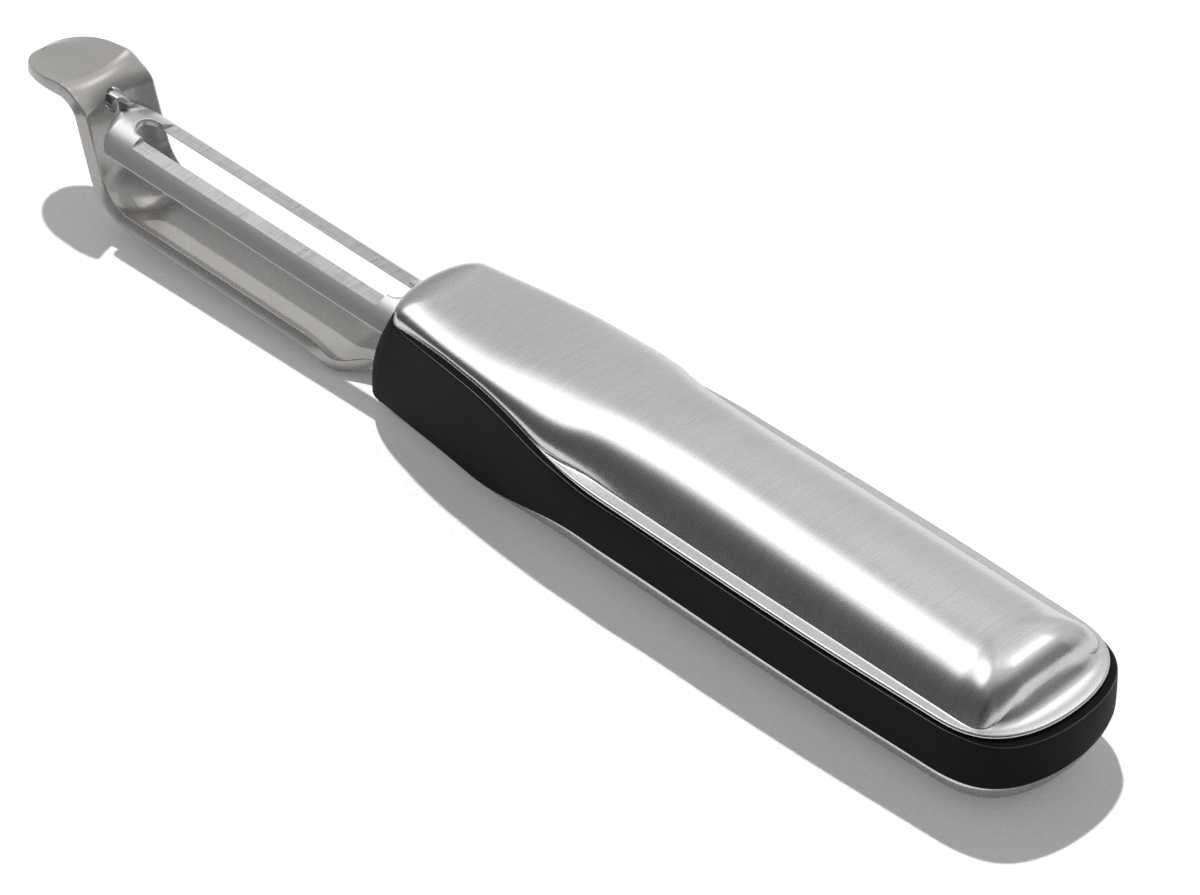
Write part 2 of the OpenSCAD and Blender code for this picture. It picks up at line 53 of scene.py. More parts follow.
# Handle in plan.
handle_len = 120.6  # foremost point of the grip to the metal at the butt
nose_back = 4.7  # upper shell's nose behind the foremost point of the grip
nose_w = 17  # shell width across the nose, where its rounding ends
grip_w = 19.2  # shell width at the middle of the finger grip
waist_w = 22.5  # shell width at the rear end of the finger grip
belly_w = 27.3  # greatest shell width
tail_w = 26.5  # shell width ahead of the butt's corners
nose_round = 3.8  # length over which the nose is rounded
butt_round = 13  # length over which the butt is rounded

# Heights of the handle.
band_h = 7.8  # soft band along the rear
grip_rise = 3  # gained by the finger grip above the band
grip_drop = 5.1  # gained by the finger grip below the band
nose_fall = 1.1  # lost again by the grip's upper edge towards the nose
grip_end = 25  # place where the finger grip begins to get lower
grip_fade = 24.5  # length over which it gets down to the band
crown_front = 9  # crown behind the nose
crown_top = 10.8  # highest place of the crown
crown_rear = 9.9  # crown ahead of the butt
rest_depth = 12.1  # table below the middle plane, at the nose
rest_pitch = 1.25  # angle between the middle plane and the table
rest_flat = 0.3  # flattening of the lower shell where it rests

# Shells and band.
shell_t = 0.7  # pressed sheet
lip_w = 1.8  # flared lip along the sides
lip_butt = 3.8  # flared lip at the middle of the butt
band_depth = 2.4  # band, face to core
band_proud = 0.4  # band in front of the shells at the rear
butt_proud = 1.1  # the same round the butt
grip_proud = 1  # the same at the finger grip
nose_proud = 0.5  # the same at the grip's front end
seam = 0.08  # gap between band and shells

# Head frame.
frame_t = 1.9  # sheet
scoop_t = 1.3  # sheet at the end of the scoop
head_w = 12.6  # scoop and upright
trough_w = 12.8  # trough below the blade
trough_dish = 1.75  # hollow across trough and upright
scoop_dish = 0.9  # hollow across the scoop
trough_depth = 10.1  # trough's floor below the middle plane
trough_bend_r = 7.5  # inside of the bend from trough to upright
upright_angle = 76  # upright from the trough
scoop_bend_r = 3.7  # outside of the bend from upright to scoop
scoop_slope = 9  # fall of the scoop towards its tip
scoop_len = 12  # scoop ahead of its bend
scoop_round = 9  # scoop's rounded end
tang_w = 6.8  # tang
tang_step = 1.4  # tang above the trough's floor
tang_len = 36  # tang inside the handle

# Blade.
blade_rise = 3.57  # crown of the arch above its lower edges
blade_w = 11.8  # width across the lower edges
blade_t = 1  # sheet
blade_top = 3.3  # crown above the middle plane
blade_len = 62.4  # shoulder to shoulder
blade_back = 4.9  # rear shoulder behind the foremost point of the grip
blade_gap = 2.2  # front shoulder to the hole in the upright
slot_w = 3.8  # slot between the cutting edges
slot_front = 3.4  # front shoulder to slot
slot_rear = 3  # slot to rear shoulder
strip_w = 2.15  # ground strip beside the slot
strip_slope = 5  # outward fall of the ground strips
corner_len = 3  # length over which the lower corners are rounded
corner_w = 4  # width over which they are rounded

# Bearings.
pivot_up = 4.1  # axis above the middle plane
pintle_d = 2.6  # pintles
pivot_hole_d = 3.4  # hole in the upright
bush_d = 5  # bush, outside
bush_back = 0.5  # bush behind the mouth
bush_len = 6  # bush, along the axis
swing = 40  # blade to each side
mouth_gap = 0.35  # clearance round the swinging blade


def rad(a):
    return math.radians(a)


def mix(a, b, t):
    return a + (b - a) * t


def clamp(v, low, high):
    return min(max(v, low), high)


def ease(v, a, b):
    """Smooth step from 0 at a to 1 at b."""
    t = clamp((v - a) / (b - a), 0, 1)
    return t * t * (3 - 2 * t)


# Surface functions of the handle, as in the CAD source. The outline is a ring of COUNT points that
# starts and ends at the nose. Every point looks at its nearest point of the spine, a straight line
# on the middle plane.
spine_in_front = 7  # ends of the spine from the ends of the shells
spine_in_rear = 12.4
under_tang_gap = 0.35  # lower edge of the band below the tang

shell_nose = nose_back
nose_lean = nose_back - nose_proud
side_front = shell_nose + nose_round
side_rear = handle_len - butt_round
spine_front = shell_nose + spine_in_front
spine_rear = handle_len - spine_in_rear
under_tang = trough_depth - tang_step + frame_t + under_tang_gap
half_widths = [
    (shell_nose, nose_w / 2 - 0.3),
    (side_front, nose_w / 2),
    (shell_nose + 14, grip_w / 2),
    (shell_nose + 28, waist_w / 2),
    (shell_nose + 43, belly_w / 2 - 0.5),
    (shell_nose + 53, belly_w / 2 - 0.25),
    (shell_nose + 83, belly_w / 2),
    (side_rear, tail_w / 2),
    (handle_len, tail_w / 2 - 0.2)]


def through(s, x):
    """Value at x of the cubic curve through the (x, value) points s."""
    i = 0
    while i < len(s) - 2 and x > s[i + 1][0]:
        i += 1

    def slope(k):
        a, b = max(k - 1, 0), min(k + 1, len(s) - 1)
        return (s[b][1] - s[a][1]) / (s[b][0] - s[a][0])
    h = s[i + 1][0] - s[i][0]
    t = clamp((x - s[i][0]) / h, 0, 1)
    a, b = slope(i) * h, slope(i + 1) * h
    return ((2 * t ** 3 - 3 * t * t + 1) * s[i][1] + (t ** 3 - 2 * t * t + t) * a
            + (3 * t * t - 2 * t ** 3) * s[i + 1][1] + (t ** 3 - t * t) * b)


NOSE_STEPS, SIDE_STEPS, BUTT_STEPS = 30, 72, 30
HALF = NOSE_STEPS + SIDE_STEPS + BUTT_STEPS
COUNT = 2 * HALF
BUTT_LONG, BUTT_WIDE = 0.625, 0.93  # powers that leave the butt flat between two corners


def outline():
    """(x, half width) along one side, from the nose to the butt."""
    pts = []
    for k in range(NOSE_STEPS):
        a = rad(90 * (1 - k / NOSE_STEPS))
        x = side_front - nose_round * math.sin(a)
        pts.append((x, through(half_widths, x) * math.cos(a)))
    for k in range(SIDE_STEPS + 1):
        x = mix(side_front, side_rear, k / SIDE_STEPS)
        pts.append((x, through(half_widths, x)))
    for k in range(1, BUTT_STEPS + 1):
        a = rad(90 * k / BUTT_STEPS)
        x = side_rear + butt_round * math.sin(a) ** BUTT_LONG
        pts.append((x, through(half_widths, x) * max(math.cos(a), 0) ** BUTT_WIDE))
    return pts


# Of each outline point: x, half width, y, x of its spine point, distance from that.
side = outline()
PX = [side[i if i <= HALF else COUNT - i][0] for i in range(COUNT)]
PW = [side[i if i <= HALF else COUNT - i][1] for i in range(COUNT)]
PY = [-PW[i] if i <= HALF else PW[i] for i in range(COUNT)]
SX = [clamp(x, spine_front, spine_rear) for x in PX]
REACH = [math.hypot(SX[i] - PX[i], PW[i]) for i in range(COUNT)]

fall_from, fall_len, fall_power = 19.5, 11, 1.5  # fall of the band's upper edge to the nose
crown_at = 0.418  # highest place of the crown, as a share of the handle's length
flare_from, flare_to = 33, 45  # the lip comes out along this stretch behind the nose
foot_power = 7  # squareness of the dome's foot round the butt
foot_short = 0.7  # added to the lip at the middle of the butt
lip_least = 0.3
belly_end = 80  # behind this place the dome's foot runs straight, whatever the outline does
lean_len = 15  # length over which the grip's front leans forward
nose_corner = side_front - 0.6  # where the outline leaves the nose


def at_nose(i):
    return 1 - ease(PX[i], nose_corner, side_front + 3)


def grip_share(i):
    return 1 - ease(PX[i], grip_end, grip_end + grip_fade)


def edge_z(i):
    """Upper edge of the band."""
    fall = nose_fall * clamp((fall_from - PX[i]) / fall_len, 0, 1) ** fall_power
    return band_h / 2 + grip_rise * grip_share(i) - fall


def low_edge_z(i):
    """Lower edge of the band. At the nose it dips under the tang."""
    return mix(-band_h / 2 - grip_drop * grip_share(i), -under_tang,
               at_nose(i) * (1 - ease(PW[i], tang_w / 2 + 1, nose_w / 2)))


def crown_z(x):
    return through([(spine_front, crown_front), (handle_len * crown_at, crown_top),
                    (spine_rear, crown_rear)], x)


def table_z(x):
    return -rest_depth + x * math.tan(rad(rest_pitch))


def lip_share(i):
    return ease(PX[i], shell_nose + flare_from, shell_nose + flare_to)


def lip(i):
    """Width of the lip. At the butt the dome's foot has square corners, where it all but ends."""
    foot = belly_w / 2 - lip_w
    if PX[i] <= spine_rear:
        return min(lip_w, PW[i] - foot if PX[i] > belly_end else lip_w) * lip_share(i)
    c, d = (PX[i] - spine_rear) / REACH[i], PW[i] / REACH[i]
    foot_end = handle_len - lip_butt - foot_short - spine_rear
    reach = ((c / foot_end) ** foot_power + (d / foot) ** foot_power) ** (-1 / foot_power)
    return max(REACH[i] - reach, lip_least)


def lean(i):
    return nose_lean * (1 - ease(PX[i], shell_nose, shell_nose + lean_len))


def at(i, depth, z):
    """Point at height z, depth in from the outline towards the spine. Below the band's upper edge
    the front of the grip leans forward."""
    k = depth / REACH[i]
    s = clamp((edge_z(i) - z) / (edge_z(i) - low_edge_z(i)), 0, 1)
    return (mix(PX[i], SX[i], k) - lean(i) * s * (2 - s) * clamp(1 - k, 0, 1), PY[i] * (1 - k), z)


# Places along the head.
blade_rear = blade_back
blade_front = blade_rear - blade_len
hole_x = blade_front - blade_gap
top_x, top_z = hole_x - 0.05, pivot_up + 0.2  # end of the upright, where the scoop's bend begins
trough_z = -trough_depth
tang_z = trough_z + tang_step
bend_top = trough_z + trough_bend_r * (1 - math.cos(rad(upright_angle)))
upright_len = (top_z - bend_top) / math.sin(rad(upright_angle))
foot_x = top_x + upright_len * math.cos(rad(upright_angle))
trough_front = foot_x + trough_bend_r * math.sin(rad(upright_angle))
hole_dish = 0.85 * trough_dish  # hollow of the upright at the hole
neck_rear, neck_front = -1.9, -8.3  # the sheet narrows and steps up from the trough to the tang
bend_x = top_x - scoop_bend_r * math.sin(rad(upright_angle))
bend_z = top_z - scoop_bend_r * math.cos(rad(upright_angle))
scoop_x = bend_x - scoop_bend_r * math.sin(rad(scoop_slope))
scoop_z = bend_z + scoop_bend_r * math.cos(rad(scoop_slope))
tip_x = scoop_x - scoop_len * math.cos(rad(scoop_slope))
tip_z = scoop_z - scoop_len * math.sin(rad(scoop_slope))

# Places of the blade and the mouth that it swings in.
blade_r = ((blade_w / 2) ** 2 + blade_rise ** 2) / (2 * blade_rise)
arch_z = blade_top - blade_r
edge_angle = math.atan2(blade_w / 2, blade_r - blade_rise)
edge_drop = pivot_up - arch_z - blade_r * math.cos(edge_angle)
swing_r = math.hypot(blade_w / 2, edge_drop)
mouth_r = swing_r + mouth_gap
mouth_rear = blade_rear + mouth_gap + 0.15
lowest_swing = min(math.atan2(edge_drop, blade_w / 2) + rad(swing), math.pi / 2)
mouth_floor = pivot_up - swing_r * math.sin(lowest_swing) - 0.05  # just below the swung edge

# Laying on the table: turn about Y, then shift and lift.
CT, ST = math.cos(rad(rest_pitch)), math.sin(rad(rest_pitch))
SHIFT = -((tip_x + handle_len + butt_proud) * CT + tip_z * ST) / 2
LIFT = rest_depth * CT


def laid(p):
    x, y, z = p
    return (SHIFT + x * CT + z * ST, y, LIFT - x * ST + z * CT)


def turned(v):
    x, y, z = v
    return Vector((x * CT + z * ST, y, -x * ST + z * CT))


# Mesh helpers.
WELD_M = 1e-7  # points nearer than this are merged


def to_frame(p):
    """Point of the part, in millimetres, as a place in the frame, in metres."""
    return tuple(c * MM for c in laid(p))


def shade(ob, sharp):
    """Smooth shading, with edges sharper than this angle kept sharp."""
    ob.data.polygons.foreach_set("use_smooth", [True] * len(ob.data.polygons))
    ob.data.set_sharp_from_angle(angle=rad(sharp))
    ob.data.update()


def make(name, verts, faces, sharp=40):
    me = bpy.data.meshes.new(name)
    me.from_pydata([to_frame(p) for p in verts], [], faces)
    bm = bmesh.new()
    bm.from_mesh(me)
    bmesh.ops.remove_doubles(bm, verts=bm.verts, dist=WELD_M)
    bmesh.ops.recalc_face_normals(bm, faces=bm.faces)
    bm.to_mesh(me)
    bm.free()
    ob = bpy.data.objects.new(name, me)
    bpy.context.scene.collection.objects.link(ob)
    shade(ob, sharp)
    return ob


def loft(rings, ends="strip"):
    """Quads through closed rings of equal length. The first and the last ring are closed by one
    face each ("fan"), by quads across the middle line ("strip") or not at all (None)."""
    n = len(rings[0])
    verts = [p for r in rings for p in r]
    faces = []
    for r in range(len(rings) - 1):
        for i in range(n):
            j = (i + 1) % n
            faces.append((r * n + i, r * n + j, (r + 1) * n + j, (r + 1) * n + i))
    for base in (0, (len(rings) - 1) * n) if ends else ():
        if ends == "fan":
            faces.append(tuple(base + i for i in range(n)))
            continue
        for i in range(n // 2):
            q = (base + i, base + i + 1, base + (n - i - 1) % n, base + (n - i) % n)
            q = tuple(dict.fromkeys(q))
            if len(q) > 2:
                faces.append(q)
    return verts, faces


def prism(name, flat, lo, hi, axis="z"):
    """Solid over a flat outline, drawn along the axis from lo to hi."""
    n = len(flat)
    if axis == "z":
        pts = [(x, y, z) for z in (lo, hi) for x, y in flat]
    else:
        pts = [(x, y, z) for x in (lo, hi) for y, z in flat]
    return make(name, pts, prism_faces(n))


def prism_faces(n):
    ends = [tuple(range(n)), tuple(range(n, 2 * n))]
    return ends + [(i, (i + 1) % n, n + (i + 1) % n, n + i) for i in range(n)]


def circle(y, z, r, n=64):
    turns = [2 * math.pi * k / n for k in range(n)]
    return [(y + r * math.cos(a), z + r * math.sin(a)) for a in turns]


def cut(ob, cutter):
    """Take the cutter away from ob, and the cutter out of the scene."""
    mod = ob.modifiers.new("cut", "BOOLEAN")
    mod.operation = "DIFFERENCE"
    mod.solver = "EXACT"
    mod.object = cutter
    deps = bpy.context.evaluated_depsgraph_get()
    me = bpy.data.meshes.new_from_object(ob.evaluated_get(deps))
    old = ob.data
    ob.modifiers.clear()
    ob.data = me
    bpy.data.meshes.remove(old)
    old = cutter.data
    bpy.data.objects.remove(cutter)
    bpy.data.meshes.remove(old)


def smooth(points, per):
    """Catmull-Rom curve through 2-D points, per steps for each span."""
    out = []
    n = len(points)
    for i in range(n - 1):
        near = points[max(i - 1, 0)], points[i], points[i + 1], points[min(i + 2, n - 1)]
        for k in range(per):
            t = k / per
            out.append(tuple(
                0.5 * (2 * b + (c - a) * t + (2 * a - 5 * b + 4 * c - d) * t * t
                       + (3 * b - a - 3 * c + d) * t ** 3)
                for a, b, c, d in zip(*near)))
    out.append(points[-1])
    return out


# Materials. Distances and noise scales are in the frame's metres.
MOST = (0.3, 0.7)  # stretch that holds most values of a noise
WHITE = (1, 1, 1, 1)
ALONG_Y, ALONG_X = (1, 0.07, 0.07), (0.07, 1, 1)  # stretching of a noise into brush lines


def is_socket(v):
    return hasattr(v, "links") and hasattr(v, "is_output")


class Nodes:
    """The node tree of a new material or world, and short ways to add nodes to it."""

    def __init__(self, owner, output="ShaderNodeOutputMaterial"):
        self.owner = owner
        owner.use_nodes = True
        self.tree = owner.node_tree
        self.tree.nodes.clear()
        self.out = self.tree.nodes.new(output)

    def new(self, kind, inputs=None, **props):
        n = self.tree.nodes.new(kind)
        for k, v in props.items():
            setattr(n, k, v)
        for k, v in (inputs or {}).items():
            if is_socket(v):
                self.tree.links.new(v, n.inputs[k])
            else:
                n.inputs[k].default_value = v
        return n

    def noise(self, scale, detail=2, rough=0.5, stretch=(1, 1, 1)):
        coords = self.new("ShaderNodeTexCoord").outputs["Object"]
        m = self.new("ShaderNodeMapping", {"Vector": coords, "Scale": stretch})
        values = {"Vector": m.outputs[0], "Scale": scale, "Detail": detail, "Roughness": rough}
        return self.new("ShaderNodeTexNoise", values).outputs["Fac"]

    def remap(self, v, low, high, span=MOST, curve="LINEAR"):
        values = {"Value": v, "From Min": span[0], "From Max": span[1],
                  "To Min": low, "To Max": high}
        return self.new("ShaderNodeMapRange", values, interpolation_type=curve).outputs[0]

    def ramp(self, fac, stops):
        r = self.new("ShaderNodeValToRGB", {"Fac": fac})
        el = r.color_ramp.elements
        while len(el) < len(stops):
            el.new(0.5)
        for e, (p, c) in zip(el, stops):
            e.position = p
            e.color = (*c, 1)
        return r.outputs["Color"]

    def math(self, a, b, op="ADD"):
        return self.new("ShaderNodeMath", {0: a, 1: b}, operation=op).outputs[0]

    def bump(self, height, distance, strength=1.0, normal=None):
        ins = {"Height": height, "Distance": distance, "Strength": strength}
        if normal is not None:
            ins["Normal"] = normal
        return self.new("ShaderNodeBump", ins).outputs[0]

    def surface(self, shader):
        self.tree.links.new(shader.outputs[0], self.out.inputs["Surface"])

    def principled(self, **ins):
        p = self.new("ShaderNodeBsdfPrincipled", {k.replace("_", " "): v for k, v in ins.items()})
        self.surface(p)
        return p


def steel(name, tint, rough, stretch=ALONG_Y, aniso=0.5, grain=1.0, turn=0.25, metal=1.0):
    """Brushed stainless steel. Fine scratches run along one axis, over a finer speckle and slow
    cloudiness."""
    n = Nodes(bpy.data.materials.new(name))
    fine = n.noise(7000, detail=3, rough=0.65, stretch=stretch)
    mid = n.noise(1500, detail=3, rough=0.6, stretch=stretch)
    speck = n.noise(4200, rough=0.6)
    broad = n.noise(45)
    lines = n.math(n.remap(fine, -0.1 * grain, 0.1 * grain),
                   n.remap(mid, -0.08 * grain, 0.08 * grain))
    level = n.math(lines, n.remap(broad, 0.44, 0.56))
    darker, lighter = tuple(c * 0.88 for c in tint), tuple(min(c * 1.1, 0.95) for c in tint)
    col = n.ramp(level, [(0.25, darker), (0.5, tint), (0.75, lighter)])
    r = n.math(n.remap(speck, rough - 0.03, rough + 0.03), n.remap(mid, -0.015, 0.02))
    b = n.bump(fine, 0.0000022 * grain)
    b = n.bump(speck, 0.0000045 * grain, normal=b)
    p = n.principled(Base_Color=col, Metallic=metal, Roughness=r, Normal=b,
                     Anisotropic=aniso, Anisotropic_Rotation=turn)
    t = n.new("ShaderNodeTangent", direction_type="RADIAL", axis="X")
    n.tree.links.new(t.outputs[0], p.inputs["Tangent"])
    return n.owner


def ground_edge():
    """Ground faces beside the slot: fine grinding lines across the edge, a few of them darker."""
    n = Nodes(bpy.data.materials.new("blade_ground"))
    across = n.noise(6500, detail=3, rough=0.7, stretch=(1, 0.035, 0.035))
    score = n.noise(1500, rough=0.7, stretch=(1, 0.08, 0.08))
    along = n.noise(2600, detail=1, stretch=(0.04, 1, 1))
    lines = n.math(n.remap(across, 0.25, 0.75), n.remap(score, -0.08, 0.06))
    lines = n.math(lines, n.remap(along, -0.08, 0.08, span=(0.35, 0.65)))
    col = n.ramp(lines, [(0.1, (0.36, 0.36, 0.355)), (0.45, (0.6, 0.6, 0.59)),
                         (0.9, (0.76, 0.76, 0.75))])
    n.principled(Base_Color=col, Metallic=1.0, Roughness=n.remap(across, 0.38, 0.52),
                 Normal=n.bump(lines, 0.000006))
    return n.owner


def rubber(name, gloss, rough):
    n = Nodes(bpy.data.materials.new(name))
    fine = n.noise(3800, detail=3, rough=0.6)
    broad = n.noise(70)
    col = n.ramp(n.math(n.remap(broad, 0.4, 0.6), n.remap(fine, -0.05, 0.05)),
                 [(0.35, (0.0045, 0.0045, 0.005)), (0.65, (0.0078, 0.0078, 0.0082))])
    r = n.math(n.remap(fine, rough - 0.06, rough + 0.06), n.remap(broad, -0.04, 0.04))
    n.principled(Base_Color=col, Roughness=r, Normal=n.bump(fine, 0.000015, strength=0.8),
                 Specular_IOR_Level=gloss)
    return n.owner


def plastic(name, dark, light, rough):
    n = Nodes(bpy.data.materials.new(name))
    broad = n.noise(180)
    fine = n.noise(5200)
    col = n.ramp(broad, [(0.3, dark), (0.7, light)])
    n.principled(Base_Color=col, Roughness=n.remap(fine, rough - 0.06, rough + 0.06),
                 Normal=n.bump(fine, 0.00001, strength=0.7))
    return n.owner


# Head and blade aren't fully metallic, so that they show the sun that falls through the slot.
shell_mat = steel("shell_steel", (0.66, 0.655, 0.65), 0.27)
frame_mat = steel("frame_steel", (0.46, 0.447, 0.433), 0.25, ALONG_X,
                  aniso=0.3, grain=0.5, turn=0.0, metal=0.54)
blade_mat = steel("blade_steel", (0.57, 0.57, 0.565), 0.31, ALONG_X,
                  aniso=0.2, grain=0.6, turn=0.0, metal=0.7)
edge_mat = ground_edge()
rubber_mat = rubber("soft_black", gloss=0.08, rough=0.58)
rim_mat = rubber("soft_black_edge", gloss=0.9, rough=0.2)
core_mat = plastic("core_plastic", (0.013, 0.013, 0.014), (0.02, 0.02, 0.021), 0.5)
bush_mat = plastic("bush_plastic", (0.62, 0.61, 0.57), (0.7, 0.69, 0.65), 0.42)
pin_mat = steel("pin_steel", (0.55, 0.54, 0.52), 0.34, aniso=0.0)


def dress(ob, mats):
    ob.data.materials.clear()
    for m in mats:
        ob.data.materials.append(m)


# Shells.
rise_nose, rise_side, rise_butt = 0.36, 0.1, 2.2  # rise of the wall's foot above the rim
lip_curve = 4  # power of that rise
nose_power, grip_power, dome_power, butt_power = 2.6, 2.1, 2.4, 5  # squareness of the dome
dome_foot, butt_foot = 0.87, 0.93  # share of its section that is used: it stands on a crease
crease_from, crease_to = 38, 62  # the crease gets crisp along this stretch behind the nose
crown_angle = rad(89)  # short of 90, where the rings would shrink to a line
low_power = 2.2  # squareness of the lower shell

# Places of the points between the foot of the wall and the crown, closer where the curve is tight.
DOME = [0, 0.01, 0.025, 0.045, 0.07, 0.1, 0.14, 0.18, 0.22, 0.27, 0.32, 0.37, 0.42, 0.48, 0.54,
        0.6, 0.66, 0.72, 0.78, 0.84, 0.9, 0.95, 1]
DOME_INSIDE = (0, 0.1, 0.25, 0.42, 0.6, 0.8, 0.98)
LIP = (0.2, 0.4, 0.6, 0.75, 0.87, 0.95)
RIM_STEPS = 6
LOW_OUTSIDE = (2.2, 5, 9, 13, 18, 23, 28, 34, 40, 46, 52, 58, 64, 70, 76, 82, 86, 89)
LOW_INSIDE = (0, 12, 26, 42, 60, 76, 88)


def dome_shape(i, t=0.0):
    """Lip width, rim height, foot height, half width, height, foot angle and power of the dome's
    section at outline point i, t below its outer face."""
    s = lip_share(i)
    f = lip(i) + 0.1
    z0 = edge_z(i) + shell_t * s
    far = clamp((lip(i) - lip_w) / (lip_butt - lip_w), 0, 1)
    foot = z0 + mix(rise_side, rise_butt, far) * s + rise_nose * (1 - s)
    front = 1 - ease(PX[i], shell_nose + 2, shell_nose + 14)
    end = ease((PX[i] - spine_rear) / REACH[i], 0, 1)
    n = mix(mix(mix(grip_power, nose_power, front), dome_power, s), butt_power, end)
    creased = ease(PX[i], shell_nose + crease_from, shell_nose + crease_to)
    u = mix(mix(1, dome_foot, creased), butt_foot, end)
    half = (REACH[i] - f) / u - t
    high = (crown_z(SX[i]) - foot) / (1 - (1 - u ** n) ** (1 / n)) - t
    return f, z0, foot, half, high, math.acos(u ** (n / 2)), n


def dome_point(i, shape, share, t=0.0):
    """Point of the wall as (depth, z); share is 0 at its foot and 1 at the crown."""
    half, high, a0, n = shape[3:]
    a = mix(a0, crown_angle, share)
    return (REACH[i] - half * math.cos(a) ** (2 / n),
            crown_z(SX[i]) - t - high * (1 - math.sin(a) ** (2 / n)))


def upper_profile(i):
    """Outer side of the upper shell as (depth, z): round the lip's rim, over the lip, up the wall
    to the crown."""
    shape = dome_shape(i)
    f, z0, foot = shape[:3]
    rr = mix(0.1, shell_t * 0.5, lip_share(i))
    pts = []
    for k in range(RIM_STEPS + 1):
        a = rad(-60 + 150 * k / RIM_STEPS)
        pts.append((rr - rr * math.cos(a), z0 - rr + rr * math.sin(a)))
    start = min(rr, 0.5 * f)
    pts[-1] = (start, z0)
    pts += [(mix(start, f, t), z0 + (foot - z0) * t ** lip_curve) for t in LIP]
    return pts + [dome_point(i, shape, t) for t in DOME]


def upper_inside(i):
    s = lip_share(i)
    t = shell_t
    shape = dome_shape(i, t)
    f, z0, foot = shape[:3]
    pts = [(mix(f, f + t, 0.5) * 0.5 + t * (1 - s), z0 + 0.2 * (foot - z0) - t * s),
           (0.85 * f + t * (1 - s), z0 + 0.6 * (foot - z0) - t * s)]
    return pts + [dome_point(i, shape, v, t) for v in DOME_INSIDE]


def lower_profile(i, t, angles):
    """Lower shell as (depth, z), t above its outer face, from its upper edge to the table."""
    z0 = low_edge_z(i)
    h = z0 - table_z(SX[i]) + rest_flat
    power = 2 / low_power
    return [(t + (REACH[i] - t) * (1 - math.cos(rad(a)) ** power),
             z0 - (h - t) * math.sin(rad(a)) ** power) for a in angles]


def lower_outside(i):
    return [(0.12, low_edge_z(i))] + lower_profile(i, 0, LOW_OUTSIDE)


def lower_inside(i):
    return lower_profile(i, shell_t, LOW_INSIDE)


def shell_mesh(name, outside, inside):
    """Pressed sheet between two profile functions, from the top of the outside over the edge."""
    outer = [outside(i) for i in range(COUNT)]
    inner = [inside(i) for i in range(COUNT)]
    rings = [[at(i, *outer[i][j]) for i in range(COUNT)] for j in reversed(range(len(outer[0])))]
    rings += [[at(i, *inner[i][j]) for i in range(COUNT)] for j in range(len(inner[0]))]
    return make(name, *loft(rings), sharp=50)


upper = shell_mesh("upper_shell_fine", upper_profile, upper_inside)
dress(upper, [shell_mat])
lower = shell_mesh("lower_shell_fine", lower_outside, lower_inside)
for v in lower.data.vertices:
    v.co.z = max(v.co.z, 0.0)
dress(lower, [shell_mat])

# Soft band.
grip_thins = (29.5, 65.5)  # stretch over which the grip gets as thin as the band
corner_falls, corner_returns = (38, 48), (58, 72)  # the upper corner stands back between these
corner_r = 0.17  # rounding of the upper corner
CORNER = (22, 45, 68, 90)
RIM_FACES = (4, 5, 6)  # faces of a row that lie on that corner
FACE_STEPS = 5
play = 0.15  # between the band and what passes through it


def proud(i):
    side_part = mix(grip_proud, band_proud, ease(PX[i], *grip_thins))
    front = 1 - ease(PX[i], nose_corner, shell_nose + 14)
    rear = ease(PX[i], handle_len - 8, handle_len - 1.5)
    return mix(mix(side_part, nose_proud, front), butt_proud, rear)


def ledge_proud(i):
    """Reach of the band's upper corner: less at the nose, and less behind the finger grip."""
    behind_grip = ease(PX[i], *corner_falls) * (1 - ease(PX[i], *corner_returns))
    return proud(i) * (1 - 0.9 * at_nose(i)) * (1 - 0.5 * behind_grip)


def band_profile(i):
    """Face of the band as (depth, z), from the seam under the upper shell over a crisp ledge to the
    lower seam."""
    a, b = edge_z(i) - seam, low_edge_z(i) + seam
    p, q = proud(i), ledge_proud(i)
    c = (a + b) / 2
    r = min(corner_r, 0.3 * q)
    ledge = [(0.35, a), (0.06, a), (-0.3 * q, a - 0.05 * q), (-q + r, a - 0.3 * q)]
    corner = [(-q + r - r * math.sin(rad(t)), a - 0.3 * q - r + r * math.cos(rad(t)))
              for t in CORNER]
    low = a - 0.3 * q - r
    face = smooth([(-q, low), (-q - 0.3 * (p + 0.1 - q), low - 0.35),
                   (mix(-q, -p, 0.75) - 0.08, (low + c) / 2), (-p - 0.12, c),
                   (-p - 0.1, (b + c) / 2), (-p, b + 1.4 * p), (-0.8 * p, b + 0.6 * p),
                   (-0.4 * p, b + 0.05), (0.35, b)], FACE_STEPS)
    return [(band_depth, a)] + ledge + corner + face[1:] + [(band_depth, b), (band_depth, c)]


def mouth_outline(steps=64):
    """Opening that the blade swings in, as (y, z)."""
    pts = []
    lowest = math.asin((mouth_floor - pivot_up) / mouth_r)
    for k in range(steps + 1):
        a = mix(lowest, 0, k / steps)
        pts.append((mouth_r * math.cos(a), pivot_up + mouth_r * math.sin(a)))
    above_band = pivot_up + 8
    pts.append((mouth_r, above_band))
    return pts + [(-y, z) for y, z in reversed(pts)]


def tang_outline():
    w = tang_w / 2 + play
    low, high = tang_z - frame_t - play, tang_z + play
    return [(-w, low), (w, low), (w, high), (-w, high)]


def band_mesh():
    rows = [[at(i, *q) for q in band_profile(i)] for i in range(COUNT)]
    rows.append(rows[0])
    ob = make("grip_band_fine", *loft(rows, ends=None))
    ob.data.materials.append(rubber_mat)
    ob.data.materials.append(rim_mat)
    for k, p in enumerate(ob.data.polygons):
        p.material_index = 1 if k % len(rows[0]) in RIM_FACES else 0
    cut(ob, prism("mouth", mouth_outline(), -7, mouth_rear, "x"))
    cut(ob, prism("tang_way", tang_outline(), -6, tang_len, "x"))
    bush_end = mouth_rear + bush_back + bush_len
    cut(ob, prism("bush_way", circle(0, pivot_up, bush_d / 2 + play, 48), 0, bush_end + 0.1, "x"))
    shade(ob, 60)
    return ob


band = band_mesh()

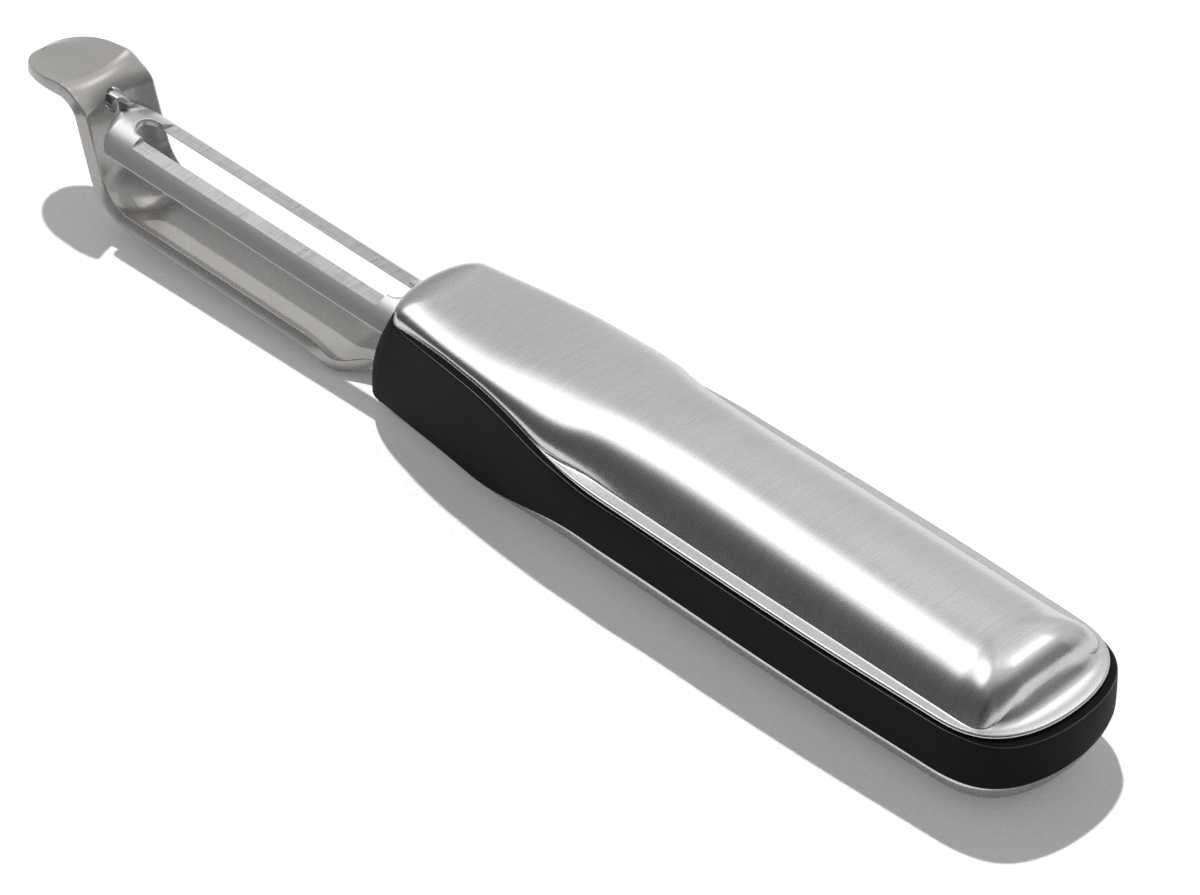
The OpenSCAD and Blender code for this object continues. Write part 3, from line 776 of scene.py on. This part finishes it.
# Head frame.
TOP_N = 24  # steps across the sheet
rim_top, rim_low = 0.24, 0.26  # rounding of the sheet's upper and lower edges
NECK_STEPS, BEND_STEPS, UPRIGHT_STEPS = 30, 32, 9
SCOOP_BEND_STEPS, FLAT_STEPS, ROUND_STEPS = 40, 6, 40
neck_fade = (neck_front - 5, neck_front + 3)  # the trough's hollow begins along this stretch


def neck_z(x):
    return trough_z + tang_step * ease(x, neck_front, neck_rear)


def neck_w(x):
    return mix(trough_w, tang_w, ease(x, neck_front, neck_rear)) / 2


def neck_dish(x):
    return trough_dish * (1 - ease(x, *neck_fade))


def neck_slope(x):
    e = 0.05
    return math.degrees(math.atan((neck_z(x + e) - neck_z(x - e)) / (2 * e)))


def frame_path():
    """Upper face of the sheet as (x, z, heading, half width, hollow), from the tang to the scoop's
    bend."""
    path = [(x, tang_z, 180, tang_w / 2, 0) for x in (tang_len, 24, 12, 3, 0.5)]
    for k in range(NECK_STEPS + 1):
        x = mix(neck_rear + 0.8, neck_fade[0], k / NECK_STEPS)
        path.append((x, neck_z(x), 180 + neck_slope(x), neck_w(x), neck_dish(x)))
    path += [(x, trough_z, 180, trough_w / 2, trough_dish) for x in (-20, -28, -36)]
    for k in range(BEND_STEPS + 1):
        a = upright_angle * k / BEND_STEPS
        path.append((trough_front - trough_bend_r * math.sin(rad(a)),
                     trough_z + trough_bend_r * (1 - math.cos(rad(a))),
                     180 - a, mix(trough_w, head_w, k / BEND_STEPS) / 2, trough_dish))
    for k in range(1, UPRIGHT_STEPS - 1):
        s = upright_len * k / UPRIGHT_STEPS
        path.append((foot_x - s * math.cos(rad(upright_angle)),
                     bend_top + s * math.sin(rad(upright_angle)), 180 - upright_angle,
                     head_w / 2, mix(trough_dish, hole_dish, k / UPRIGHT_STEPS)))
    for k in range(SCOOP_BEND_STEPS + 1):
        u = k / SCOOP_BEND_STEPS
        h = upright_angle - (upright_angle + scoop_slope) * u
        flatter = mix(hole_dish, 0.6, ease(u * 9, 0, 5))
        path.append((bend_x + scoop_bend_r * math.sin(rad(h)),
                     bend_z + scoop_bend_r * math.cos(rad(h)), 180 - h, head_w / 2,
                     mix(flatter, scoop_dish, ease(u * 9, 5, 9))))
    return path


def sheet_loop():
    """Loop round the sheet's section as (share of the half width, inset, depth below the upper
    face)."""
    t, r, q = frame_t, rim_top, rim_low
    arc = [(r * (1 - math.sin(rad(a))), r * (1 - math.cos(rad(a)))) for a in (18, 36, 54, 72, 90)]
    low = [(q * (1 - math.cos(rad(a))), t - q + q * math.sin(rad(a))) for a in (0, 18, 36, 54, 72)]
    edge = arc + low
    loop = [(-1 + 2 * k / TOP_N, r, 0.0) for k in range(TOP_N + 1)]
    loop += [(1, d, h) for d, h in edge]
    loop += [(1 - 2 * k / TOP_N, q, t) for k in range(TOP_N + 1)]
    return loop + [(-1, d, h) for d, h in reversed(edge)]


LOOP = sheet_loop()


def sheet_ring(p, half=None, spot=None):
    """Ring at path point p. Where the end is rounded, half(inset) and spot(inset) give the half
    width and the place instead."""
    ring = []
    gone = ease(bend_x - (spot(0)[0] if spot else p[0]), 0, 8)
    thin = mix(frame_t, scoop_t, gone) / frame_t
    a = rad(p[2])
    for u, d, h in LOOP:
        if half:
            w = half(d)
            x, z = spot(d)
            rim = scoop_dish * half(0) / (head_w / 2)
            full = max(half(0), 1e-6)
        else:
            w = p[3] - d
            x, z = p[0], p[1]
            rim, full = p[4], p[3]
        y = w * u
        dish = rim * (y / full) ** 2
        tilt = math.atan(2 * rim * y / full ** 2)
        lift = dish - h * thin * math.cos(tilt)
        ring.append((x + math.sin(a) * lift, y + h * thin * math.sin(tilt), z - math.cos(a) * lift))
    return ring


def frame_mesh():
    rings = [sheet_ring(p) for p in frame_path()]
    c, s = math.cos(rad(scoop_slope)), math.sin(rad(scoop_slope))
    heading = 180 + scoop_slope
    start = scoop_len - scoop_round
    for k in range(1, FLAT_STEPS):
        q = start * k / FLAT_STEPS
        place = (scoop_x - q * c, scoop_z - q * s, heading, head_w / 2, scoop_dish)
        rings.append(sheet_ring(place))
    for k in range(ROUND_STEPS + 1):
        a = rad(89.3 * k / ROUND_STEPS)

        def half(d, a=a):
            return (head_w / 2 - d) * math.cos(a)

        def spot(d, a=a):
            q = start + (scoop_round - d) * math.sin(a)
            return scoop_x - q * c, scoop_z - q * s
        rings.append(sheet_ring((0, 0, heading), half, spot))
    n = len(LOOP)
    verts, faces = loft(rings, ends=None)
    for base in (0, (len(rings) - 1) * n):
        faces.append(tuple(range(base, base + n)))
    ob = make("head_frame_fine", verts, faces)
    hole = circle(0, pivot_up, pivot_hole_d / 2, 72)
    cut(ob, prism("hole", hole, hole_x - 5, hole_x + 5, "x"))
    shade(ob, 40)
    return ob


head = frame_mesh()
dress(head, [frame_mat])

# Blade: one sheet, lofted along X. At the front its middle runs on as a tab that is rolled up into
# the pintle, the far edge over the top, the near edge cut back.
slot_x = blade_front + slot_front
slot_len = blade_len - slot_front - slot_rear
strip_in_front, strip_in_rear = 3.1, 2.7  # ends of the strips from the ends of the slot
strip_up = 0.14  # strip above the sheet's lower face, at the slot
strip_x = slot_x + strip_in_front
strip_end = slot_x + slot_len - strip_in_rear
strip_z = arch_z + math.sqrt((blade_r - blade_t) ** 2 - (slot_w / 2) ** 2) + strip_up
edge_r = 0.16  # rounding of the sheet's edges
corner_over = 0.1  # the rounding of the lower corners starts this far outside the edge

tab_t = 0.55  # sheet of the tab
far_roll = rad(212)
near_roll, near_roll_cut = 150, 38
tab_end, tab_end_in = 2.15, 0.1  # the tab is narrower from here on ahead of the hole
# Stretches from x to x, measured from the front shoulder, over which a change takes place.
ROLLING, THINNING, CUTTING_BACK = (1.1, -0.95), (1.8, -0.7), (-0.9, -2.0)

ACROSS = 72  # steps across the blade


def forward(x, stretch):
    """Smooth step from 0 to 1 on the way forward along the stretch."""
    return ease(-x, -blade_front - stretch[0], -blade_front - stretch[1])


def blade_section(x):
    """Closed loop of the sheet at x: upper face from near to far, rounded edge, lower face back,
    rounded edge."""
    n = ACROSS
    d = min(x - blade_front, blade_rear - x)
    c = 1 - clamp(d, 0, corner_len) / corner_len
    corner = corner_w * (1 - math.sqrt(max(1 - c * c, 0)))
    w = min(blade_w / 2, blade_w / 2 + corner_over - corner)
    e = forward(x, ROLLING)
    t = mix(blade_t, tab_t, forward(x, THINNING))
    near = rad(mix(near_roll, near_roll_cut, forward(x, CUTTING_BACK)))
    r_tab = (pintle_d - tab_t) / 2
    if x < hole_x - tab_end:
        r_tab -= tab_end_in
    rr = blade_r - t / 2
    mid = []
    for k in range(n + 1):
        s = -1 + 2 * k / n
        a = s * math.asin(w / blade_r)
        q = s * far_roll if s > 0 else s * near
        mid.append((mix(rr * math.sin(a), r_tab * math.sin(q), e),
                    mix(arch_z + rr * math.cos(a), pivot_up - r_tab * math.cos(q), e)))
    tang = []
    for k in range(n + 1):
        a, b = mid[max(k - 1, 0)], mid[min(k + 1, n)]
        m = math.hypot(b[0] - a[0], b[1] - a[1])
        tang.append(((b[0] - a[0]) / m, (b[1] - a[1]) / m))

    def off(k, along, up):
        (y, z), (ty, tz) = mid[k], tang[k]
        return (y + ty * along - tz * up, z + tz * along + ty * up)
    g = edge_r
    h = t / 2
    bend = [(-g, h), (-0.3 * g, h - 0.3 * g), (0, h - g)]
    loop = [off(k, 0, h) for k in range(1, n)]
    loop += [off(n, u, v) for u, v in bend] + [off(n, u, -v) for u, v in reversed(bend)]
    loop += [off(k, 0, -h) for k in range(n - 1, 0, -1)]
    loop += [off(0, -u, -v) for u, v in bend] + [off(0, -u, v) for u, v in reversed(bend)]
    return [(x, y, z) for y, z in loop]


def blade_stations():
    """Places of the sections from rear to front, closer where the shape changes."""
    step = 0.1
    middle_rear, middle_front = blade_rear - corner_len - 1, blade_front + corner_len + 1
    xs = [blade_rear - corner_len * (1 - math.cos(rad(a))) for a in range(0, 91, 9)]
    xs += [mix(middle_rear, middle_front, k / 14) for k in range(15)]
    xs += [blade_front + corner_len * (1 - math.cos(rad(a))) for a in range(90, 24, -6)]
    x = xs[-1] - step
    while x > blade_front - 2.1:
        xs.append(x)
        x -= step
    return xs + [hole_x, hole_x - 1.2, hole_x - 2.1, hole_x - 2.2, hole_x - 2.3]


def marked(ob, index):
    """Give ob both steels of the blade, and all its faces the one with this index."""
    ob.data.materials.append(blade_mat)
    ob.data.materials.append(edge_mat)
    for p in ob.data.polygons:
        p.material_index = index
    return ob


STRIP_END = [(0, 0), (0.12, 0.02), (0.24, 0.08), (0.34, 0.2), (0.42, 0.4), (0.62, 1.7)]


def strip_cutter(m):
    """Cutter for the ground strip at one side, m = 1 or -1; its ends run out in a curve."""
    prof = [(strip_x - a, b) for a, b in reversed(STRIP_END)]
    prof += [(strip_end + a, b) for a, b in STRIP_END]
    c, s = math.cos(rad(strip_slope)), math.sin(rad(strip_slope))
    pts = [(x, m * (slot_w / 2 + v * c + z * s), strip_z - v * s + z * c)
           for v in (strip_w, -1.2) for x, z in prof]
    return marked(make("strip", pts, prism_faces(len(prof))), 1)


def slot_outline(grow, steps=24):
    r = slot_w / 2 + grow
    pts = []
    for cx, a0 in ((slot_x + slot_w / 2, 90), (slot_x + slot_len - slot_w / 2, 270)):
        for k in range(steps + 1):
            a = rad(a0 + 180 * k / steps)
            pts.append((cx + r * math.cos(a), r * math.sin(a)))
    return pts


# Rounding of the slot's upper rim: how much wider than the slot, how high above the arch.
SLOT_RIM = ((-0.3, -0.75), (-0.02, -0.34), (0.03, -0.2), (0.12, -0.09), (0.3, 0.0), (0.9, 0.2),
            (0.9, 2))


def slot_bevel():
    rings = [[(x, y, arch_z + math.sqrt(blade_r ** 2 - y * y) + up) for x, y in slot_outline(grow)]
             for grow, up in SLOT_RIM]
    return marked(make("bevel", *loft(rings, ends="fan")), 0)


throat_w, throat_t = 4.3, 0.72  # end of the throat in the crown, across and in height


def rear_throat(steps=14, around=40):
    """Drawn neck between the crown and the rear pintle."""
    rings = []
    for k in range(steps + 1):
        e = ease(k / steps, 0, 1)
        x = blade_rear + 0.2 - (slot_rear - 0.4) * k / steps
        wy, wz = mix(pintle_d / 2, throat_w / 2, e), mix(pintle_d / 2, throat_t / 2, e)
        zc = mix(pivot_up, blade_top - blade_t / 2 - 0.1, e)
        ring = []
        for j in range(around):
            a = 2 * math.pi * j / around
            y = wy * math.cos(a)
            ring.append((x, y, zc + wz * math.sin(a) - y ** 2 / (2 * blade_r) * e))
        rings.append(ring)
    return loft(rings, ends="fan")


def rear_pintle():
    ends = (blade_rear - 0.4, mouth_rear + bush_back + bush_len - 0.4)
    return loft([[(x, y, z) for y, z in circle(0, pivot_up, pintle_d / 2, 48)] for x in ends],
                ends="fan")


def blade_mesh():
    """The strips are cut before the slot and its rim, which the boolean needs for clean results."""
    sheet = loft([blade_section(x) for x in blade_stations()], ends="fan")
    ob = marked(make("swivel_blade_fine", *sheet), 0)
    for m in (1, -1):
        cut(ob, strip_cutter(m))
    cut(ob, marked(prism("slot", slot_outline(0), arch_z - 1, arch_z + 14), 0))
    cut(ob, slot_bevel())
    bm = bmesh.new()
    bm.from_mesh(ob.data)
    for verts, faces in (rear_throat(), rear_pintle()):
        vs = [bm.verts.new(to_frame(p)) for p in verts]
        for f in faces:
            bm.faces.new([vs[i] for i in f])
    bmesh.ops.recalc_face_normals(bm, faces=bm.faces)
    bm.to_mesh(ob.data)
    bm.free()
    shade(ob, 32)
    return ob


blade = blade_mesh()

# Bodies and nodes. The hidden nodes keep their CAD shape and get a material.
for ob, body, node, slot in ((upper, "tool", "upper_shell", "shell_steel"),
                             (lower, "tool", "lower_shell", "shell_steel"),
                             (band, "tool", "grip_band", "soft_black"),
                             (head, "tool", "head_frame", "frame_steel"),
                             (blade, "blade", "swivel_blade", "blade_steel")):
    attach(ob, body)
    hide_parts(node)

for node, mat in (("core_upper", core_mat), ("core_lower", core_mat),
                  ("pivot_bush", bush_mat), ("tang_pins", pin_mat)):
    ob = frame["nodes"][node]
    for k in range(max(len(ob.material_slots), 1)):
        if k < len(ob.material_slots):
            ob.material_slots[k].material = mat
        else:
            ob.data.materials.append(mat)

# Floor, light and camera.
floor_z = -0.00005  # metres: just below the part
paper_glow = 0.1  # share of white that the camera sees on top of the lit paper
sky_diffuse = 0.34  # light of the sky on matt surfaces
sun_energy, sun_angle, sun_from = 2.75, 1.6, (-0.42, 0.3, 1)
# Sky as steel mirrors it. Levels, multiplied: axis of the direction, from, to, level at each.
SKY_LEVELS = (("Y", -0.75, 0.5, 0.11, 0.74), ("X", 0.15, 0.7, 1.0, 0.3),
              ("X", -0.78, -0.56, 0.55, 1.0))
# Bright patches on top of them: direction, inner and outer radius in degrees, level.
SKY_PATCHES = (((-0.547, -0.03, 0.837), 2, 23, 2.3), ((-0.12, 0.56, 0.82), 3, 13, 1.9))

# View of the photo in the part's own axes, before it is laid on the table: degrees, millimetres.
view_azimuth, view_elevation, view_roll = 45.14, 39.34, 0.27
aim_x, aim_z, view_distance = 38.52, 6.66, 632.87
aim_drop = 9  # aim_z counts from a plane this far below the middle plane
lens_mm, film_mm = 144, 36


def floor():
    me = bpy.data.meshes.new("floor")
    corners = [(-0.75, -0.16, 0), (0.75, -0.16, 0), (0.75, 0.75, 0), (-0.75, 0.75, 0)]
    me.from_pydata(corners, [], [(0, 1, 2, 3)])
    ob = bpy.data.objects.new("floor", me)
    bpy.context.scene.collection.objects.link(ob)
    ob.location.z = floor_z
    n = Nodes(bpy.data.materials.new("floor_paper"))
    grain = n.noise(1500, detail=3, rough=0.6)
    col = n.ramp(grain, [(0.3, (0.82, 0.82, 0.82)), (0.7, (0.94, 0.94, 0.94))])
    lit = n.new("ShaderNodeBsdfDiffuse", {"Color": col})
    glow = n.new("ShaderNodeEmission", {"Color": WHITE, "Strength": paper_glow})
    both = n.new("ShaderNodeAddShader", {0: lit.outputs[0], 1: glow.outputs[0]})
    path = n.new("ShaderNodeLightPath")
    n.surface(n.new("ShaderNodeMixShader", {0: path.outputs["Is Camera Ray"],
                                            1: lit.outputs[0], 2: both.outputs[0]}))
    me.materials.append(n.owner)


def world():
    """White for the camera, an even sky for matt surfaces, a studio's sky for mirroring ones."""
    n = Nodes(bpy.data.worlds.new("studio"), "ShaderNodeOutputWorld")
    bpy.context.scene.world = n.owner
    co = n.new("ShaderNodeTexCoord").outputs["Generated"]
    sep = n.new("ShaderNodeSeparateXYZ", {0: co})

    def step(v, start, end, at_start, at_end):
        return n.remap(v, at_start, at_end, (start, end), "SMOOTHSTEP")

    def patch(direction, inner, outer, level):
        d = turned(Vector(direction).normalized())
        dot = n.new("ShaderNodeVectorMath", {0: co, 1: d}, operation="DOT_PRODUCT")
        return step(dot.outputs["Value"], math.cos(rad(outer)), math.cos(rad(inner)), 0, level)

    def sky(strength):
        return n.new("ShaderNodeBackground", {"Color": WHITE, "Strength": strength})

    levels = [step(sep.outputs[axis], *values) for axis, *values in SKY_LEVELS]
    level = levels[0]
    for other in levels[1:]:
        level = n.math(level, other, "MULTIPLY")
    for values in SKY_PATCHES:
        level = n.math(level, patch(*values))
    path = n.new("ShaderNodeLightPath")
    last = sky(sky_diffuse)
    for ray, shader in (("Is Glossy Ray", sky(level)), ("Is Camera Ray", sky(1.0))):
        last = n.new("ShaderNodeMixShader", {0: path.outputs[ray], 1: last.outputs[0],
                                             2: shader.outputs[0]})
    n.surface(last)


def key_light():
    sun = bpy.data.lights.new("key", "SUN")
    sun.energy = sun_energy
    sun.angle = rad(sun_angle)
    key = bpy.data.objects.new("key", sun)
    bpy.context.scene.collection.objects.link(key)
    direction = turned(Vector(sun_from).normalized())
    key.rotation_euler = direction.to_track_quat("Z", "Y").to_euler()
    key.visible_glossy = False


def camera():
    az, el, roll = rad(view_azimuth), rad(view_elevation), rad(view_roll)
    back = Vector((math.sin(az) * math.cos(el), -math.cos(az) * math.cos(el), math.sin(el)))
    right = Vector((math.cos(az), math.sin(az), 0))
    up = back.cross(right)
    right, up = (math.cos(roll) * right + math.sin(roll) * up,
                 -math.sin(roll) * right + math.cos(roll) * up)
    c = Vector((aim_x, 0, aim_z)) + view_distance * back
    c = Vector(laid((c.x, c.y, c.z - aim_drop))) * MM
    cam = bpy.data.cameras.new("photo_view")
    cam.lens = lens_mm
    cam.sensor_width = film_mm
    cam.clip_start = 0.01
    cam.clip_end = 20
    ob = bpy.data.objects.new("photo_view", cam)
    bpy.context.scene.collection.objects.link(ob)
    columns = [turned(v) for v in (right, up, back)] + [c]
    ob.matrix_world = Matrix([[v[k] for v in columns] for k in range(3)] + [[0, 0, 0, 1]])
    bpy.context.scene.camera = ob


floor()
world()
key_light()
camera()
bpy.context.scene.view_settings.view_transform = "Standard"
